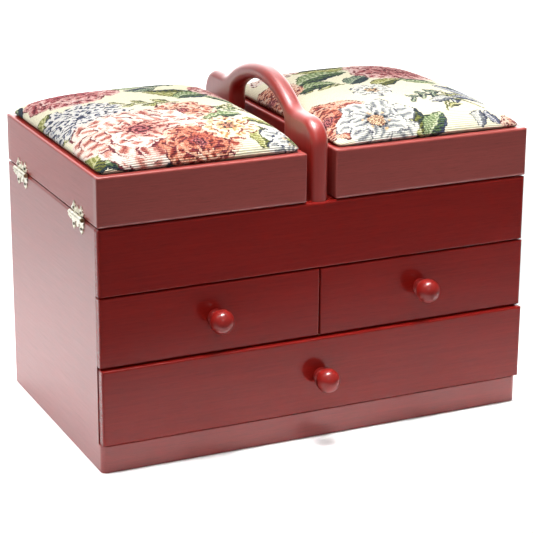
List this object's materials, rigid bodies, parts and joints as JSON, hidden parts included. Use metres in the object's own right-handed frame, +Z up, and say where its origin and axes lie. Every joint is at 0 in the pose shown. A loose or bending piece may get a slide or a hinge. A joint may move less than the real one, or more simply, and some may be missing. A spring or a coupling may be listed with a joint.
{
  "type": "sewing box",
  "caption": "Wooden sewing box with padded floral lids hinged at the sides, a fixed arched handle between them, lift-out trays and knobbed drawers.",
  "frame": {"origin": "middle of the case's footprint, on the surface that the box stands on", "axes": "+X to the right along the front, +Y to the back, +Z up; the drawers open towards -Y"},
  "size_m": [0.408, 0.2591, 0.305],
  "materials": {
    "stained_wood": "mahogany-red stained and lacquered wood, satin, fine grain showing",
    "turned_wood": "mahogany-red stained wood under glossy lacquer",
    "inner_wood": "plain pale wood, sanded and thinly sealed",
    "thin_board": "thin birch plywood",
    "dowel_beech": "raw beech",
    "tapestry": "ribbed floral tapestry weave",
    "hinge_brass": "pale brass-plated pressed steel, bright",
    "pin_brass": "brass-plated wire",
    "dark_nails": "bronzed steel",
    "screw_steel": "zinc-plated steel"
  },
  "bodies": {
    "case": {"left_side_panel": "stained_wood", "right_side_panel": "stained_wood", "back_panel": "stained_wood", "bottom_board": "thin_board", "drawer_runners": "inner_wood", "plinth_rail": "stained_wood", "front_fascia": "stained_wood", "drawer_shelf": "inner_wood", "drawer_partition": "inner_wood", "compartment_floor": "inner_wood", "centre_partition": "inner_wood", "handle_bridge": "stained_wood", "carrying_handle": "turned_wood", "handle_dowels": "dowel_beech", "left_tray_ledges": "inner_wood", "right_tray_ledges": "inner_wood", "left_case_leaves": "hinge_brass", "right_case_leaves": "hinge_brass", "left_hinge_pins": "pin_brass", "right_hinge_pins": "pin_brass", "left_case_nails": "dark_nails", "right_case_nails": "dark_nails"},
    "left_lid": {"left_lid_front_rail": "stained_wood", "left_lid_back_rail": "stained_wood", "left_lid_outer_rail": "stained_wood", "left_lid_inner_rail": "stained_wood", "left_lid_board": "thin_board", "left_cushion": "tapestry", "left_lid_leaves": "hinge_brass", "left_lid_nails": "dark_nails"},
    "right_lid": {"right_lid_front_rail": "stained_wood", "right_lid_back_rail": "stained_wood", "right_lid_outer_rail": "stained_wood", "right_lid_inner_rail": "stained_wood", "right_lid_board": "thin_board", "right_cushion": "tapestry", "right_lid_leaves": "hinge_brass", "right_lid_nails": "dark_nails"},
    "left_tray": {"left_tray_walls": "inner_wood", "left_tray_bottom": "thin_board", "left_tray_dividers": "inner_wood"},
    "right_tray": {"right_tray_walls": "inner_wood", "right_tray_bottom": "thin_board", "right_tray_dividers": "inner_wood"},
    "left_drawer": {"left_drawer_front": "stained_wood", "left_drawer_walls": "inner_wood", "left_drawer_bottom": "thin_board", "left_drawer_knob": "turned_wood", "left_drawer_screw": "screw_steel"},
    "right_drawer": {"right_drawer_front": "stained_wood", "right_drawer_walls": "inner_wood", "right_drawer_bottom": "thin_board", "right_drawer_knob": "turned_wood", "right_drawer_screw": "screw_steel"},
    "big_drawer": {"big_drawer_front": "stained_wood", "big_drawer_walls": "inner_wood", "big_drawer_bottom": "thin_board", "big_drawer_knob": "turned_wood", "big_drawer_screw": "screw_steel"}
  },
  "joints": [
    {"name": "left_lid_hinge", "type": "hinge", "parent": "case", "child": "left_lid", "pos_m": [-0.202, 0, 0.2128], "axis": [0, -1, 0], "range_deg": [0, 180]},
    {"name": "right_lid_hinge", "type": "hinge", "parent": "case", "child": "right_lid", "pos_m": [0.202, 0, 0.2128], "axis": [0, 1, 0], "range_deg": [0, 180]},
    {"name": "left_tray_lift", "type": "slide", "parent": "case", "child": "left_tray", "axis": [0, 0, 1], "range_m": [0, 0.038]},
    {"name": "right_tray_lift", "type": "slide", "parent": "case", "child": "right_tray", "axis": [0, 0, 1], "range_m": [0, 0.038]},
    {"name": "left_drawer_slide", "type": "slide", "parent": "case", "child": "left_drawer", "axis": [0, -1, 0], "range_m": [0, 0.15]},
    {"name": "right_drawer_slide", "type": "slide", "parent": "case", "child": "right_drawer", "axis": [0, -1, 0], "range_m": [0, 0.15]},
    {"name": "big_drawer_slide", "type": "slide", "parent": "case", "child": "big_drawer", "axis": [0, -1, 0], "range_m": [-0.0036, 0.15]}
  ]
}
